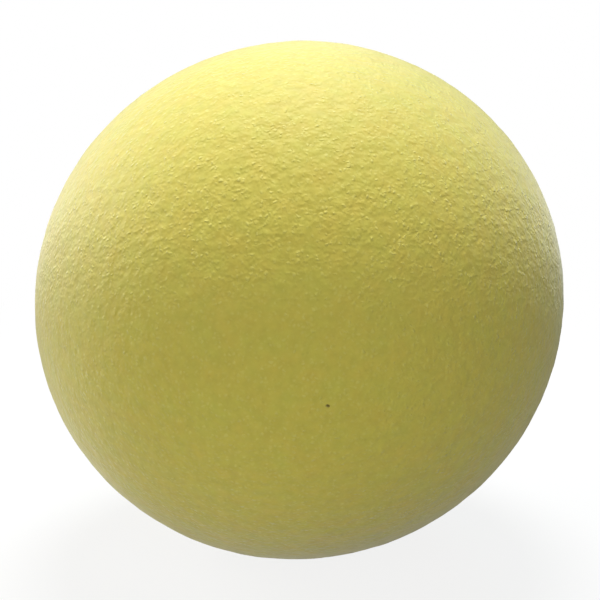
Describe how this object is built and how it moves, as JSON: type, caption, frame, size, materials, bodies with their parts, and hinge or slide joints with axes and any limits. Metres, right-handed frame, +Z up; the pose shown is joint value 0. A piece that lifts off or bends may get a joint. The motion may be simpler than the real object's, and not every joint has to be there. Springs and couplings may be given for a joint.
{
  "type": "foam pickleball",
  "caption": "Soft yellow foam ball, a little oval, with a fine-grained skin bonded over a solid foam core, for quiet pickleball play and practice.",
  "frame": {"origin": "middle of the ball", "axes": "+Z up, away from the flat that the ball lies on; -Y to the front, the side with the pinhole; +X to the right of someone facing the front, the way the ball is longest"},
  "size_m": [0.0747, 0.073, 0.0733],
  "materials": {
    "skin": "matte",
    "core": "matte"
  },
  "bodies": {
    "root": {"outer_skin": "skin", "foam_core": "core"}
  },
  "joints": []
}
